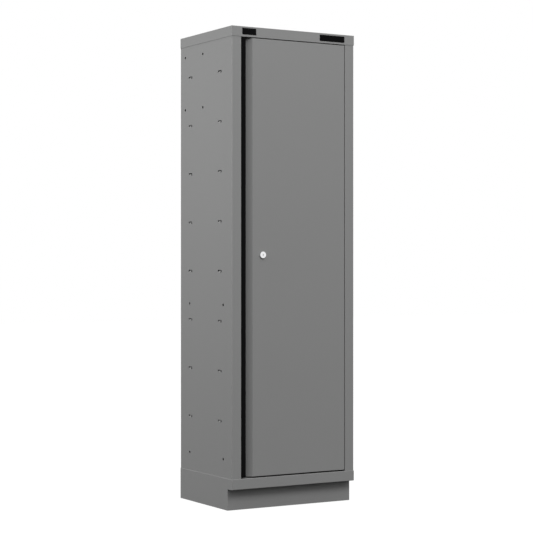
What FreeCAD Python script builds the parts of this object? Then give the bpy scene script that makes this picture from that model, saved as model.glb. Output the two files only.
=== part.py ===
import FreeCAD, Part
import math
import os
import Sketcher

# A tall steel side locker with one door, made of folded sheet on a welded base.
# Millimetres. The origin is on the floor, at the middle of the 600 x 460 footprint;
# +X is to the right of someone facing the door, +Y goes to the back, +Z is up.

# ---------------------------------------------------------------- sizes

SIZES = (
    ("width", 600, "overall width, over the cap and the base"),
    ("depth", 460, "overall depth, over the cap and the base"),
    ("height", 2000, "overall height"),
    ("sheet", 1, "steel sheet of the carcass, the door and the shelves"),
    ("cover_sheet", 1, "steel sheet of the cap and the base"),
    ("lap_gap", 0.3, "gap between the carcass and the covers that lap over it"),
    ("fold_radius", 0.8, "inside radius of a fold"),
    ("skirt_height", 42, "height of the cap's skirt"),
    ("base_height", 132, "height of the base"),
    ("kick_height", 88.5, "height of the toe space"),
    ("kick_setback", 36, "depth of the toe space"),
    ("base_flange", 36, "inward flange around the top of the base"),
    ("foot_flange", 20, "inward flange that stands on the floor"),
    ("stile_width", 45, "cabinet edge to the door opening"),
    ("stop_flange", 18, "flange behind the door's edges"),
    ("rear_flange", 20, "side panel's flange behind the back panel"),
    ("edge_flange", 26, "side panel's flanges at its top and bottom"),
    ("edge_flange_end", 45, "bare end of those flanges, front and rear"),
    ("floor_rise", 27, "height of the floor tray's flanges"),
    ("door_gap", 3, "gap at the door's sides"),
    ("door_top_gap", 3.5, "gap above the door"),
    ("door_bottom_gap", 6, "gap below the door"),
    ("door_depth", 30, "thickness of the door"),
    ("door_hem", 15, "flange around the door's back"),
    ("liner_edge", 5, "folded edge of the door's liner"),
    ("edge_radius", 1.5, "outside radius of the door's edges"),
    ("buffer_space", 3, "gap between the closed door and its stop flanges"),
    ("recess_edge", 100, "cabinet edge to the door's flat front"),
    ("recess_depth", 22, "depth of the finger recess"),
    ("grip_edge", 67.5, "cabinet edge to the free edge of the grip lip"),
    ("grip_wall", 2, "wall of the grip profile"),
    ("grip_nose", 5, "depth of the grip lip's nose"),
    ("grip_foot", 26, "width of the grip's foot on the recess floor"),
    ("grip_radius", 0.5, "inside radius of the grip's corners"),
    ("pivot_inset", 6, "hinge axis to the door's front and edge"),
    ("pin_diameter", 6, "hinge pin"),
    ("running_gap", 0.05, "radial clearance of a shaft that turns or slides"),
    ("fixed_gap", 0.05, "radial clearance of a part that stays in its hole"),
    ("rest_gap", 0.3, "gap between faces that rub"),
    ("bush_wall", 1, "wall of the hinge bushes"),
    ("bush_rim", 1.5, "width of the bushes' rims"),
    ("bush_rim_height", 1.5, "thickness of the bushes' rims"),
    ("bush_length", 8, "length of the bushes"),
    ("pin_collar", 11, "diameter of the lower pin's collar"),
    ("pin_grip", 12, "length of the pins inside the door"),
    ("plate_length", 70, "length of the hinge plates"),
    ("plate_depth", 22, "depth of the hinge plates"),
    ("plate_thickness", 4, "thickness of the hinge plates"),
    ("plate_corner", 4, "corner chamfer of the hinge plates"),
    ("lock_from_edge", 146, "cabinet edge to the lock's axis"),
    ("lock_height", 1057, "floor to the lock's axis"),
    ("lock_head_diameter", 26, "diameter of the lock's head"),
    ("lock_head_height", 8, "how far the lock stands out"),
    ("lock_head_edge", 2.5, "straight edge at the foot of the lock's head"),
    ("lock_face_diameter", 19, "diameter of the lock's flat face"),
    ("lock_body_diameter", 18, "diameter of the lock's body"),
    ("lock_length", 35, "length of the lock behind the door's front"),
    ("plug_diameter", 12, "diameter of the turning plug"),
    ("plug_sunk", 0.7, "how far the plug's face lies below the lock's face"),
    ("key_slot_height", 8.5, "height of the key slot"),
    ("key_slot_width", 2, "width of the key slot"),
    ("key_slot_depth", 14, "depth of the key slot"),
    ("lock_nut_flats", 24, "lock nut, across flats"),
    ("lock_nut_height", 4, "height of the lock nut"),
    ("cam_overlap", 14, "how far the locked cam reaches behind the stop flange"),
    ("cam_thickness", 2.5, "thickness of the cam"),
    ("cam_hub", 22, "diameter of the cam's hub"),
    ("cam_tip", 14, "diameter of the cam's tip"),
    ("cam_screw_diameter", 6, "cam screw"),
    ("cam_screw_length", 12, "length of the cam screw's thread in the plug"),
    ("cam_screw_head", 12, "diameter of the cam screw's head"),
    ("cam_screw_head_height", 3.5, "height of the cam screw's head"),
    ("cam_screw_socket", 4, "socket in the cam screw's head, across flats"),
    ("hole_diameter", 9, "bolt holes in the sides"),
    ("upper_hole_front", 256.5, "cabinet front to the upper holes' first column"),
    ("upper_hole_rear", 416.5, "cabinet front to the upper holes' second column"),
    ("upper_hole_drop", 89, "top to the upper holes' highest row"),
    ("upper_hole_pitch", 226, "between the upper holes' rows"),
    ("lower_hole_front", 76.5, "cabinet front to the lower holes' first column"),
    ("lower_hole_rear", 375.5, "cabinet front to the lower holes' second column"),
    ("lower_hole_low", 208.5, "floor to the lower holes' first row"),
    ("lower_hole_high", 849, "floor to the lower holes' second row"),
    ("window_low", 360, "floor to the lower edge of the lowest shelf window"),
    ("window_pitch", 208, "step from one shelf window to the next"),
    ("window_margin", 120, "least height left above the highest window"),
    ("window_front", 106.5, "cabinet front to the first column of windows"),
    ("window_rear", 369, "cabinet front to the second column of windows"),
    ("window_length", 31, "length of a window"),
    ("window_height", 10, "height of a window"),
    ("tab_width", 19, "width of a shelf tab"),
    ("tab_length", 8.5, "length of a shelf tab"),
    ("tab_angle", 60, "slope of a shelf tab, in degrees above level"),
    ("tab_offset", 5, "how far a tab stands behind the middle of its window"),
    ("shelf_flange", 25, "height of a shelf's flanges"),
    ("shelf_return", 12, "return at the foot of a shelf's front and rear flanges"),
    ("shelf_gap", 1, "gap between a shelf and the walls beside it"),
    ("shelf_setback", 60, "door's front to the shelves' front edge"),
    ("seat_gap", 0.1, "gap between a shelf and its tabs"),
    ("bolt_diameter", 6, "bolts between the carcass and the base"),
    ("bolt_hole", 6.6, "clearance hole of those bolts"),
    ("bolt_flats", 10, "bolt head and nut, across flats"),
    ("bolt_head_height", 4, "height of the bolt heads"),
    ("nut_height", 5, "height of the nuts"),
    ("bolt_end", 2, "bolt end beyond its nut"),
    ("bolt_inset", 14, "side panel's outer face to the bolts"),
    ("bolt_spread", 280, "front bolts to rear bolts"),
    ("stud_diameter", 5, "weld studs under the cap"),
    ("stud_hole", 5.6, "clearance hole of the studs"),
    ("stud_length", 12, "length of the studs"),
    ("stud_nut_flats", 8, "stud nuts, across flats"),
    ("stud_nut_height", 4, "height of the stud nuts"),
    ("foot_inset", 50, "cabinet side to a foot's axis"),
    ("foot_front_inset", 90, "cabinet front to the front feet's axis"),
    ("foot_rear_inset", 52, "cabinet back to the rear feet's axis"),
    ("foot_travel", 15, "how far a foot can be screwed down"),
    ("foot_pad_flats", 34, "foot pad, across flats"),
    ("foot_pad_height", 9, "height of a foot's pad"),
    ("foot_stud_diameter", 8, "diameter of a foot's stud"),
    ("bracket_height", 34, "floor to the underside of a foot bracket"),
    ("bracket_sheet", 2, "thickness of a foot bracket"),
    ("bracket_rise", 26, "height of a foot bracket's upright leg"),
    ("bracket_width", 44, "width of a foot bracket"),
    ("bracket_reach", 70, "length of a foot bracket"),
    ("foot_nut_flats", 13, "foot nut, across flats"),
    ("foot_nut_height", 6.5, "height of a foot nut"),
    ("buffer_width", 9, "width of a door buffer"),
    ("buffer_length", 30, "length of a door buffer"),
)

# Places that follow from the sizes. Y is measured from the middle of the footprint.
PLACES = (
    ("side_face", "dim.width / 2 - dim.cover_sheet - dim.lap_gap"),
    ("side_inside", "side_face - dim.sheet"),
    ("front", "-dim.depth / 2 + dim.cover_sheet + dim.lap_gap"),
    ("rear", "dim.depth / 2 - dim.cover_sheet - dim.lap_gap"),
    ("rear_frame", "rear - dim.sheet"),
    ("carcass_top", "dim.height - dim.cover_sheet"),
    ("skirt_foot", "dim.height - dim.skirt_height"),
    ("opening_side", "dim.width / 2 - dim.stile_width"),
    ("stop_face", "front + dim.door_depth + dim.buffer_space"),
    ("header_foot", "skirt_foot - dim.stop_flange"),
    ("floor_top", "dim.base_height + dim.sheet + dim.floor_rise"),
    ("door_side", "opening_side - dim.door_gap"),
    ("door_low", "dim.base_height + dim.door_bottom_gap"),
    ("door_high", "skirt_foot - dim.door_top_gap"),
    ("door_back", "front + dim.door_depth"),
    ("recess_side", "-dim.width / 2 + dim.recess_edge"),
    ("recess_face", "front + dim.recess_depth"),
    ("pivot_x", "door_side - dim.pivot_inset"),
    ("pivot_y", "front + dim.pivot_inset"),
    ("lock_x", "-dim.width / 2 + dim.lock_from_edge"),
    ("bush_bore", "dim.pin_diameter + 2 * dim.running_gap"),
    ("bush_body", "bush_bore + 2 * dim.bush_wall"),
    ("bush_hole", "bush_body + 2 * dim.fixed_gap"),
    ("bush_rim_edge", "bush_body / 2 + dim.bush_rim"),
    ("pin_hole", "dim.pin_diameter + 2 * dim.fixed_gap"),
    ("bolt_x", "side_face - dim.bolt_inset"),
    ("kick_face", "-dim.depth / 2 + dim.kick_setback"),
    ("foot_x", "dim.width / 2 - dim.foot_inset"),
    ("foot_front", "-dim.depth / 2 + dim.foot_front_inset"),
    ("foot_rear", "dim.depth / 2 - dim.foot_rear_inset"),
    ("foot_nut_top", "dim.bracket_height + dim.bracket_sheet + dim.foot_nut_height"),
    ("foot_stud_top", "foot_nut_top + dim.foot_travel + dim.bolt_end"),
    ("window_room", "dim.height - dim.window_margin - dim.window_low - dim.window_height"),
    ("window_rows", "1 + floor(window_room / dim.window_pitch)"),
    ("upper_hole_high", "dim.height - dim.upper_hole_drop"),
    ("upper_hole_low", "upper_hole_high - dim.upper_hole_pitch"),
    ("shelf_side", "side_inside - dim.shelf_gap"),
    ("tab_tip", "dim.window_low + dim.tab_length * sin(dim.tab_angle * 1 deg)"),
)

SHELF_COUNT = 4
BUFFER_COUNT = 4

doc = FreeCAD.newDocument("side_locker")


def fill_sheet(name, rows):
    """Make a spreadsheet from rows of an alias, what its cell holds and a note."""
    table = doc.addObject("Spreadsheet::Sheet", name)
    for line, (alias, content, note) in enumerate(rows, start=1):
        table.set(f"A{line}", alias)
        table.set(f"B{line}", content)
        table.set(f"C{line}", note)
        table.setAlias(f"B{line}", alias)
    doc.recompute()
    return table


dim = fill_sheet("dim", [(alias, str(value), note) for alias, value, note in SIZES])
place = fill_sheet("place", [(alias, "=" + formula, "") for alias, formula in PLACES])


def number(expression):
    """The value of an expression on the two sheets."""
    return float(dim.evalExpression(expression))


# ---------------------------------------------------------------- sketching


def new_body(name):
    body = doc.addObject("PartDesign::Body", name)
    body.Label = name
    return body


def new_sketch(body, role, height="0"):
    """An empty sketch parallel to one of the body's origin planes, at a height on its normal.

    On XY_Plane the normal is +Z, on XZ_Plane it is -Y and on YZ_Plane it is +X.
    """
    sketch = body.newObject("Sketcher::SketchObject", body.Name + "_sketch")
    plane = next(item for item in body.Origin.OriginFeatures if item.Role == role)
    sketch.AttachmentSupport = [(plane, "")]
    sketch.MapMode = "FlatFace"
    sketch.setExpression("AttachmentOffset.Base.z", height)
    return sketch


def bind(sketch, kind, target, expression):
    """Add a constraint to the sketch and tie its value to an expression."""
    constraint = Sketcher.Constraint(kind, *target, number(expression))
    index = sketch.addConstraint(constraint)
    sketch.setExpression(f"Constraints[{index}]", expression)


def bind_point(sketch, geometry, point, across, up):
    bind(sketch, "DistanceX", (-1, 1, geometry, point), across)
    bind(sketch, "DistanceY", (-1, 1, geometry, point), up)


def draw_polygon(sketch, corners):
    """A closed polygon. Every corner is a pair of expressions, which it stays bound to."""
    points = [FreeCAD.Vector(number(across), number(up), 0) for across, up in corners]
    first = sketch.GeometryCount
    for start, end in zip(points, points[1:] + points[:1]):
        sketch.addGeometry(Part.LineSegment(start, end))
    for offset, (across, up) in enumerate(corners):
        previous = first + (offset - 1) % len(corners)
        line = first + offset
        sketch.addConstraint(Sketcher.Constraint("Coincident", previous, 2, line, 1))
        bind_point(sketch, line, 1, across, up)


def draw_rectangle(sketch, low, high):
    """A rectangle between two corners, each a pair of expressions."""
    draw_polygon(sketch, [low, (high[0], low[1]), high, (low[0], high[1])])


def draw_circle(sketch, across, up, diameter):
    centre = FreeCAD.Vector(number(across), number(up), 0)
    normal = FreeCAD.Vector(0, 0, 1)
    circle = sketch.addGeometry(Part.Circle(centre, normal, number(diameter) / 2))
    bind(sketch, "Diameter", (circle,), diameter)
    bind_point(sketch, circle, 3, across, up)


def draw_hexagon(sketch, across, up, flats):
    corners = []
    for step in range(6):
        reach = f"{flats} / sqrt(3)"
        angle = f"{60 * step + 30} deg"
        corners.append((f"{across} + {reach} * cos({angle})", f"{up} + {reach} * sin({angle})"))
    draw_polygon(sketch, corners)


def mitres(corners, closed):
    """For each corner of a path, the offset that moves both its sides one unit to the left."""
    points = [FreeCAD.Vector(number(across), number(up), 0) for across, up in corners]
    last = len(points) - 1
    offsets = []
    for index, point in enumerate(points):
        sides = []
        if closed or index > 0:
            sides.append(point - points[index - 1])
        if closed or index < last:
            sides.append(points[(index + 1) % len(points)] - point)
        normals = [FreeCAD.Vector(-side.y, side.x, 0).normalize() for side in sides]
        if len(normals) == 2:
            joint = 1 + normals[0].dot(normals[1])
            offsets.append((normals[0] + normals[1]) / joint)
        else:
            offsets.append(normals[0])
    return offsets


def move_left(corners, distance, closed=True):
    """The same path, moved to its left by a distance, as expressions."""
    moved = []
    for (across, up), offset in zip(corners, mitres(corners, closed)):
        moved.append(
            (
                f"{across} + ({offset.x:.9f}) * ({distance})",
                f"{up} + ({offset.y:.9f}) * ({distance})",
            )
        )
    return moved


# ---------------------------------------------------------------- features


def set_side(feature, reverse, both_sides):
    feature.Reversed = reverse
    if both_sides:
        feature.SideType = "Symmetric"


def pad(body, sketch, length, reverse=False, both_sides=False):
    """Raise a sketch along its normal, or against it."""
    feature = body.newObject("PartDesign::Pad", body.Name + "_pad")
    feature.Profile = sketch
    feature.setExpression("Length", length)
    set_side(feature, reverse, both_sides)
    doc.recompute()
    return feature


def pocket(body, sketch, length, reverse=False, both_sides=False):
    """Cut a sketch out against its normal, or along it. It has to remove something."""
    before = body.Shape.Volume
    feature = body.newObject("PartDesign::Pocket", body.Name + "_pocket")
    feature.Profile = sketch
    feature.setExpression("Length", length)
    set_side(feature, reverse, both_sides)
    doc.recompute()
    if feature.Shape.Volume > before - 0.01:
        raise RuntimeError(f"{feature.Name} cuts nothing")
    return feature


def revolve(body, sketch, axis):
    feature = body.newObject("PartDesign::Revolution", body.Name + "_revolution")
    feature.Profile = sketch
    feature.ReferenceAxis = (sketch, [axis])
    feature.Angle = 360
    doc.recompute()
    return feature


def round_edges(body, radius, chosen, kind="PartDesign::Fillet"):
    """Fillet or chamfer the body's straight or round edges for which chosen(edge) is true."""
    base = body.Tip
    names = [f"Edge{i}" for i, edge in enumerate(base.Shape.Edges, start=1) if chosen(edge)]
    if not names:
        raise RuntimeError(f"{body.Name} has no edge to round")
    feature = body.newObject(kind, body.Name + "_edges")
    feature.Base = (base, names)
    feature.setExpression("Radius" if kind.endswith("Fillet") else "Size", radius)
    doc.recompute()
    return feature


def is_near(value, expression):
    return abs(value - number(expression)) < 1e-4


def edge_along(axis, spots):
    """True for an edge parallel to an axis that runs through one of the spots.

    A spot is a pair of expressions on the other two axes, in X, Y, Z order.
    """
    others = [name for name in "xyz" if name != axis]

    def chosen(edge):
        ends = [vertex.Point for vertex in edge.Vertexes]
        if len(ends) != 2 or not isinstance(edge.Curve, Part.Line):
            return False
        if any(abs(getattr(ends[0], name) - getattr(ends[1], name)) > 1e-4 for name in others):
            return False
        here = [getattr(ends[0], name) for name in others]
        return any(is_near(here[0], a) and is_near(here[1], b) for a, b in spots)

    return chosen


def edge_on_plane(axis, level):
    """True for an edge that lies in the plane where the axis has this level."""

    def chosen(edge):
        return all(is_near(getattr(vertex.Point, axis), level) for vertex in edge.Vertexes)

    return chosen


def hollow(body, wall, open_side):
    """Shell the body inwards to an even wall, open on the faces for which open_side(face) is true."""
    base = body.Tip
    names = [f"Face{i}" for i, face in enumerate(base.Shape.Faces, start=1) if open_side(face)]
    feature = body.newObject("PartDesign::Thickness", body.Name + "_shell")
    feature.Base = (base, names)
    feature.setExpression("Value", wall)
    feature.Reversed = True
    doc.recompute()
    return feature


def faces_down(face):
    """True for a flat face whose outside points straight down."""
    return isinstance(face.Surface, Part.Plane) and face.normalAt(0, 0).z < -0.999


def faces_front(face):
    """True for a flat face whose outside points towards -Y."""
    return isinstance(face.Surface, Part.Plane) and face.normalAt(0, 0).y < -0.999


NORMAL_AXIS = {"XY_Plane": "z", "XZ_Plane": "y", "YZ_Plane": "x"}


def folded_sheet(body, role, path, wall, length, radius, height="0", both_sides=False):
    """A sheet folded along a path, with the wall to the left of the path, and rounded folds."""
    inner = move_left(path, wall, closed=False)
    sketch = new_sketch(body, role, height)
    draw_polygon(sketch, path + inner[::-1])
    pad(body, sketch, length, both_sides=both_sides)
    points = [FreeCAD.Vector(number(across), number(up), 0) for across, up in path]
    outside = []
    inside = []
    for index in range(1, len(path) - 1):
        arriving = points[index] - points[index - 1]
        leaving = points[index + 1] - points[index]
        turns_left = arriving.cross(leaving).z > 0
        outside.append(path[index] if turns_left else inner[index])
        inside.append(inner[index] if turns_left else path[index])
    axis = NORMAL_AXIS[role]
    round_edges(body, f"{radius} + {wall}", edge_along(axis, outside))
    round_edges(body, radius, edge_along(axis, inside))
    return body


def move_to(body, x="0", y="0", z="0"):
    """Bind the body's place."""
    for axis, expression in (("x", x), ("y", y), ("z", z)):
        body.setExpression(f"Placement.Base.{axis}", expression)


# ---------------------------------------------------------------- carcass


def fastener_spots(across, spread):
    """Four spots, mirrored left to right and front to rear."""
    return [
        (f"{side} * {across}", f"{end} * {spread} / 2") for side in (-1, 1) for end in (-1, 1)
    ]


def make_side_panel():
    """The left side: skin, door stile, stop flange and rear flange folded from one sheet.

    The shelf windows are lanced: each one's tab is cut on three sides and pushed inwards.
    """
    body = new_body("side_panel_left")
    plan = [
        ("-place.side_face + dim.rear_flange", "place.rear_frame"),
        ("-place.side_face", "place.rear_frame"),
        ("-place.side_face", "place.front"),
        ("-place.opening_side", "place.front"),
        ("-place.opening_side", "place.stop_face"),
        ("-place.opening_side + dim.stop_flange", "place.stop_face"),
    ]
    tall = "place.carcass_top - dim.base_height"
    folded_sheet(body, "XY_Plane", plan, "dim.sheet", tall, "dim.fold_radius", "dim.base_height")

    for level, upwards in (("dim.base_height", True), ("place.carcass_top", False)):
        flange = new_sketch(body, "XY_Plane", level)
        draw_rectangle(
            flange,
            ("-place.side_face + dim.sheet / 2", "place.front + dim.edge_flange_end"),
            ("-place.side_face + dim.edge_flange", "place.rear_frame - dim.edge_flange_end"),
        )
        pad(body, flange, "dim.sheet", reverse=not upwards)
    for level, bore in (
        ("dim.base_height + dim.sheet", "dim.bolt_hole"),
        ("place.carcass_top", "dim.stud_hole"),
    ):
        holes = new_sketch(body, "XY_Plane", level)
        for end in (-1, 1):
            draw_circle(holes, "-place.bolt_x", f"{end} * dim.bolt_spread / 2", bore)
        pocket(body, holes, "dim.sheet")

    # The stop flange makes way for the header above the door and the floor tray below it.
    notches = new_sketch(body, "XZ_Plane", "-(place.stop_face - dim.fold_radius)")
    for low, high in (
        ("dim.base_height", "place.floor_top"),
        ("place.header_foot", "place.carcass_top"),
    ):
        draw_rectangle(
            notches,
            ("-place.opening_side - 2 * dim.sheet", low),
            ("-place.opening_side + dim.stop_flange + dim.sheet", high),
        )
    pocket(body, notches, "dim.fold_radius + dim.sheet")

    holes = new_sketch(body, "YZ_Plane", "-place.side_face + dim.sheet")
    for columns, rows in (
        (
            ("dim.upper_hole_front", "dim.upper_hole_rear"),
            ("place.upper_hole_low", "place.upper_hole_high"),
        ),
        (
            ("dim.lower_hole_front", "dim.lower_hole_rear"),
            ("dim.lower_hole_low", "dim.lower_hole_high"),
        ),
    ):
        for column in columns:
            for row in rows:
                draw_circle(holes, f"-dim.depth / 2 + {column}", row, "dim.hole_diameter")
    pocket(body, holes, "dim.sheet")

    columns = ["-dim.depth / 2 + dim.window_front", "-dim.depth / 2 + dim.window_rear"]
    windows = new_sketch(body, "YZ_Plane", "-place.side_face + dim.sheet")
    for middle in columns:
        draw_rectangle(
            windows,
            (f"{middle} - dim.window_length / 2", "dim.window_low"),
            (f"{middle} + dim.window_length / 2", "dim.window_low + dim.window_height"),
        )
    first_row = [pocket(body, windows, "dim.sheet")]

    slope = "dim.tab_angle * 1 deg"
    root = ("-place.side_face", "dim.window_low")
    tip = (f"-place.side_face + dim.tab_length * cos({slope})", "place.tab_tip")
    across_wall = (f"dim.sheet * sin({slope})", f"dim.sheet * cos({slope})")
    for middle in columns:
        tab = new_sketch(body, "XZ_Plane", f"-({middle} + dim.tab_offset)")
        draw_polygon(
            tab,
            [
                root,
                (f"{root[0]} + {across_wall[0]}", f"{root[1]} - {across_wall[1]}"),
                (f"{tip[0]} + {across_wall[0]}", f"{tip[1]} - {across_wall[1]}"),
                tip,
            ],
        )
        first_row.append(pad(body, tab, "dim.tab_width", both_sides=True))

    pattern = body.newObject("PartDesign::LinearPattern", "side_panel_windows")
    pattern.Originals = first_row
    up = next(item for item in body.Origin.OriginFeatures if item.Role == "Z_Axis")
    pattern.Direction = (up, [""])
    pattern.Mode = "Spacing"
    pattern.setExpression("Offset", "dim.window_pitch")
    pattern.setExpression("Occurrences", "place.window_rows")
    body.Tip = pattern
    doc.recompute()
    return body


def mirror_across(source, name):
    """The piece on the other side of the cabinet's middle plane."""
    mirrored = doc.addObject("Part::Mirroring", name)
    mirrored.Label = name
    mirrored.Source = source
    mirrored.Normal = FreeCAD.Vector(1, 0, 0)
    return mirrored


def make_header():
    """The rail above the door: it carries the cap, the upper bush and the door's top stop."""
    body = new_body("header_rail")
    profile = [
        ("place.front + dim.edge_flange_end", "place.carcass_top"),
        ("place.front", "place.carcass_top"),
        ("place.front", "place.skirt_foot"),
        ("place.stop_face", "place.skirt_foot"),
        ("place.stop_face", "place.header_foot"),
    ]
    span = "2 * place.opening_side"
    folded_sheet(body, "YZ_Plane", profile, "dim.sheet", span, "dim.fold_radius", both_sides=True)
    seat = new_sketch(body, "XY_Plane", "place.skirt_foot + dim.sheet")
    draw_circle(seat, "place.pivot_x", "place.pivot_y", "place.bush_hole")
    pocket(body, seat, "dim.sheet")
    return body


def make_back_panel():
    body = new_body("back_panel")
    sketch = new_sketch(body, "XZ_Plane", "-place.rear")
    draw_rectangle(
        sketch,
        ("-place.side_face", "dim.base_height"),
        ("place.side_face", "place.carcass_top"),
    )
    pad(body, sketch, "dim.sheet")
    return body


def make_tray(name, low, high, bottom, height, wall, radius):
    """A sheet tray turned upside down: a top with a flange folded down along all four sides."""
    body = new_body(name)
    sketch = new_sketch(body, "XY_Plane", bottom)
    draw_rectangle(sketch, low, high)
    pad(body, sketch, height)
    round_edges(body, f"{radius} + {wall}", edge_on_plane("z", f"{bottom} + {height}"))
    hollow(body, wall, faces_down)
    return body


def make_cap():
    """The cap laps over the carcass and is held by weld studs on its underside.

    Its folds are as tight as the lap's gap, so that the carcass's square top edges clear them.
    """
    body = make_tray(
        "top_cap",
        ("-dim.width / 2", "-dim.depth / 2"),
        ("dim.width / 2", "dim.depth / 2"),
        "place.skirt_foot",
        "dim.skirt_height",
        "dim.cover_sheet",
        "dim.lap_gap",
    )
    studs = new_sketch(body, "XY_Plane", "place.carcass_top + dim.cover_sheet / 2")
    for across, up in fastener_spots("place.bolt_x", "dim.bolt_spread"):
        draw_circle(studs, across, up, "dim.stud_diameter")
    pad(body, studs, "dim.stud_length + dim.cover_sheet / 2", reverse=True)
    return body


def make_floor():
    """The floor tray stands on the side panels' bottom flanges; its front is the door's sill."""
    return make_tray(
        "floor_panel",
        ("-place.side_inside + dim.fixed_gap", "place.stop_face"),
        ("place.side_inside - dim.fixed_gap", "place.rear_frame - dim.sheet - dim.shelf_gap"),
        "dim.base_height + dim.sheet",
        "dim.floor_rise",
        "dim.sheet",
        "dim.fold_radius",
    )


def make_shelf(index):
    """A shelf that lies on its four tabs: folded down and in at the front and rear, open at the sides."""
    body = new_body(f"shelf_{index + 1}")
    front = "place.front + dim.shelf_setback"
    rear = "place.rear_frame - dim.sheet - dim.shelf_gap"
    profile = [
        (f"{rear} - dim.shelf_return", "0"),
        (rear, "0"),
        (rear, "dim.shelf_flange"),
        (front, "dim.shelf_flange"),
        (front, "0"),
        (f"{front} + dim.shelf_return", "0"),
    ]
    span = "2 * place.shelf_side"
    folded_sheet(body, "YZ_Plane", profile, "dim.sheet", span, "dim.fold_radius", both_sides=True)
    row = index * round(number("place.window_rows")) // SHELF_COUNT
    sheet_foot = f"place.tab_tip + {row} * dim.window_pitch + dim.seat_gap"
    move_to(body, z=f"{sheet_foot} + dim.sheet - dim.shelf_flange")
    return body


# ---------------------------------------------------------------- base


def make_base():
    """The welded base: front lip, toe space, kick plate, sides and rear, flanged top and bottom."""
    body = new_body("base_frame")
    outline = [
        ("-dim.depth / 2", "dim.base_height"),
        ("-dim.depth / 2", "dim.kick_height"),
        ("place.kick_face", "dim.kick_height"),
        ("place.kick_face", "0"),
        ("dim.depth / 2", "0"),
        ("dim.depth / 2", "dim.base_height"),
    ]
    side_view = new_sketch(body, "YZ_Plane")
    draw_polygon(side_view, outline)
    pad(body, side_view, "dim.width", both_sides=True)
    rim = edge_on_plane("z", "dim.base_height")
    lip = edge_along("x", [("-dim.depth / 2", "dim.kick_height")])
    outside = "dim.fold_radius + dim.cover_sheet"
    round_edges(body, outside, lambda edge: rim(edge) or lip(edge))

    cavity = new_sketch(body, "YZ_Plane")
    draw_polygon(cavity, move_left(outline, "dim.cover_sheet"))
    pocket(body, cavity, "dim.width - 2 * dim.cover_sheet", both_sides=True)

    top_opening = new_sketch(body, "XY_Plane", "dim.base_height")
    draw_rectangle(
        top_opening,
        ("-dim.width / 2 + dim.base_flange", "-dim.depth / 2 + dim.base_flange"),
        ("dim.width / 2 - dim.base_flange", "dim.depth / 2 - dim.base_flange"),
    )
    pocket(body, top_opening, "dim.cover_sheet")
    foot_opening = new_sketch(body, "XY_Plane", "dim.cover_sheet")
    draw_rectangle(
        foot_opening,
        ("-dim.width / 2 + dim.foot_flange", "place.kick_face + dim.foot_flange"),
        ("dim.width / 2 - dim.foot_flange", "dim.depth / 2 - dim.foot_flange"),
    )
    pocket(body, foot_opening, "dim.cover_sheet")

    holes = new_sketch(body, "XY_Plane", "dim.base_height")
    for across, up in fastener_spots("place.bolt_x", "dim.bolt_spread"):
        draw_circle(holes, across, up, "dim.bolt_hole")
    draw_circle(holes, "place.pivot_x", "place.pivot_y", "place.bush_hole")
    pocket(body, holes, "dim.cover_sheet")
    return body


def foot_corners():
    """The feet's axes, from the front left round to the rear left."""
    return [
        ("-place.foot_x", "place.foot_front"),
        ("place.foot_x", "place.foot_front"),
        ("place.foot_x", "place.foot_rear"),
        ("-place.foot_x", "place.foot_rear"),
    ]


def make_foot_brackets():
    """Four folded angles inside the base, each with a weld nut for a foot's stud."""
    made = []
    for index, (across, up) in enumerate(foot_corners()):
        body = new_body(f"foot_bracket_{index + 1}")
        side = "-1" if across.startswith("-") else "1"
        wall = f"{side} * (dim.width / 2 - dim.cover_sheet)"
        path = [
            (wall, "dim.bracket_height + dim.bracket_rise"),
            (wall, "dim.bracket_height"),
            (f"{wall} - ({side}) * dim.bracket_reach", "dim.bracket_height"),
        ]
        if side == "1":
            path.reverse()
        folded_sheet(
            body, "XZ_Plane", path, "dim.bracket_sheet", "dim.bracket_width",
            "dim.fold_radius", f"-({up})", both_sides=True,
        )
        nut = new_sketch(body, "XY_Plane", "place.foot_nut_top")
        draw_hexagon(nut, across, up, "dim.foot_nut_flats")
        pad(body, nut, "dim.foot_nut_height + dim.bracket_sheet / 2", reverse=True)
        hole = new_sketch(body, "XY_Plane", "place.foot_nut_top")
        draw_circle(hole, across, up, "dim.foot_stud_diameter + 2 * dim.running_gap")
        pocket(body, hole, "dim.foot_nut_height + dim.bracket_sheet")
        made.append(body)
    return made


def make_nuts(name, spots, flats, bore, level, height):
    """A group of hexagon nuts that hang below one level."""
    body = new_body(name)
    sketch = new_sketch(body, "XY_Plane", level)
    for across, up in spots:
        draw_hexagon(sketch, across, up, flats)
        draw_circle(sketch, across, up, bore)
    pad(body, sketch, height, reverse=True)
    return body


def make_bolts():
    """Four hexagon bolts that hold the carcass down on the base."""
    body = new_body("base_bolts")
    spots = fastener_spots("place.bolt_x", "dim.bolt_spread")
    level = "dim.base_height + dim.sheet"
    heads = new_sketch(body, "XY_Plane", level)
    for across, up in spots:
        draw_hexagon(heads, across, up, "dim.bolt_flats")
    pad(body, heads, "dim.bolt_head_height")
    shanks = new_sketch(body, "XY_Plane", level)
    for across, up in spots:
        draw_circle(shanks, across, up, "dim.bolt_diameter")
    through = "dim.sheet + dim.cover_sheet + dim.nut_height + dim.bolt_end"
    pad(body, shanks, through, reverse=True)
    return body


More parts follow.
